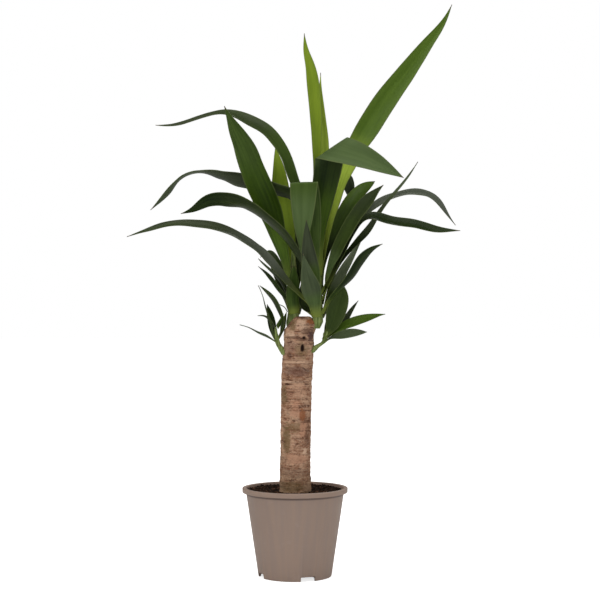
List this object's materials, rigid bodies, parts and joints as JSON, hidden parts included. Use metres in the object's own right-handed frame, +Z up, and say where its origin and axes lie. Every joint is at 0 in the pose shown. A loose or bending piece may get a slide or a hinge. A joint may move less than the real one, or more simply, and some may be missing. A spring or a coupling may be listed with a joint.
{
  "type": "potted yucca",
  "caption": "Potted yucca: leafy shoots of sword-shaped leaves on a cut bark cane, standing in soil in a tapered plastic nursery pot.",
  "frame": {"origin": "on the ground, under the middle of the pot's foot", "axes": "+Z up along the cane; -Y is the front, which faces the camera of the picture; +X is to the right of it"},
  "size_m": [0.4352, 0.151, 0.7732],
  "materials": {
    "pot": "smooth satin plastic, taupe",
    "soil": "rough peat and bark crumbs, dark brown",
    "cane": "rough ringed bark, brown",
    "stem": "smooth, yellow-green",
    "leaf_dark": "waxy satin leaf, dark green",
    "leaf_bright": "waxy satin leaf, bright green"
  },
  "bodies": {
    "root": {"pot": "pot", "soil": "soil", "cane": "cane", "stem_right": "stem", "stem_left": "stem", "side_shoot_right": "leaf_dark", "side_shoot_left": "leaf_dark", "leaf_sword_right": "leaf_bright", "leaf_sword_left": "leaf_bright", "leaf_top_left": "leaf_bright", "leaf_top_right": "leaf_bright", "leaf_pale_back": "leaf_bright", "leaf_folded_right": "leaf_dark", "leaf_folded_front": "leaf_dark", "leaf_right_a": "leaf_dark", "leaf_right_b": "leaf_dark", "leaf_right_c": "leaf_dark", "leaf_right_d": "leaf_dark", "leaf_right_e": "leaf_dark", "leaf_right_f": "leaf_dark", "leaf_right_g": "leaf_dark", "leaf_high_left": "leaf_dark", "leaf_mid_left": "leaf_dark", "leaf_low_left": "leaf_dark", "leaf_lowest_left": "leaf_dark", "leaf_front_a": "leaf_dark", "leaf_front_b": "leaf_dark", "leaf_front_c": "leaf_dark", "leaf_back_hook": "leaf_dark", "leaf_back_a": "leaf_dark", "leaf_back_b": "leaf_dark", "leaf_back_c": "leaf_dark", "leaf_back_d": "leaf_dark", "leaf_back_e": "leaf_dark", "leaf_back_f": "leaf_dark", "leaf_back_g": "leaf_dark", "leaf_small_a": "leaf_dark", "leaf_small_b": "leaf_dark", "leaf_small_c": "leaf_dark", "leaf_small_d": "leaf_dark", "leaf_small_e": "leaf_dark", "leaf_thin": "leaf_dark"}
  },
  "joints": []
}
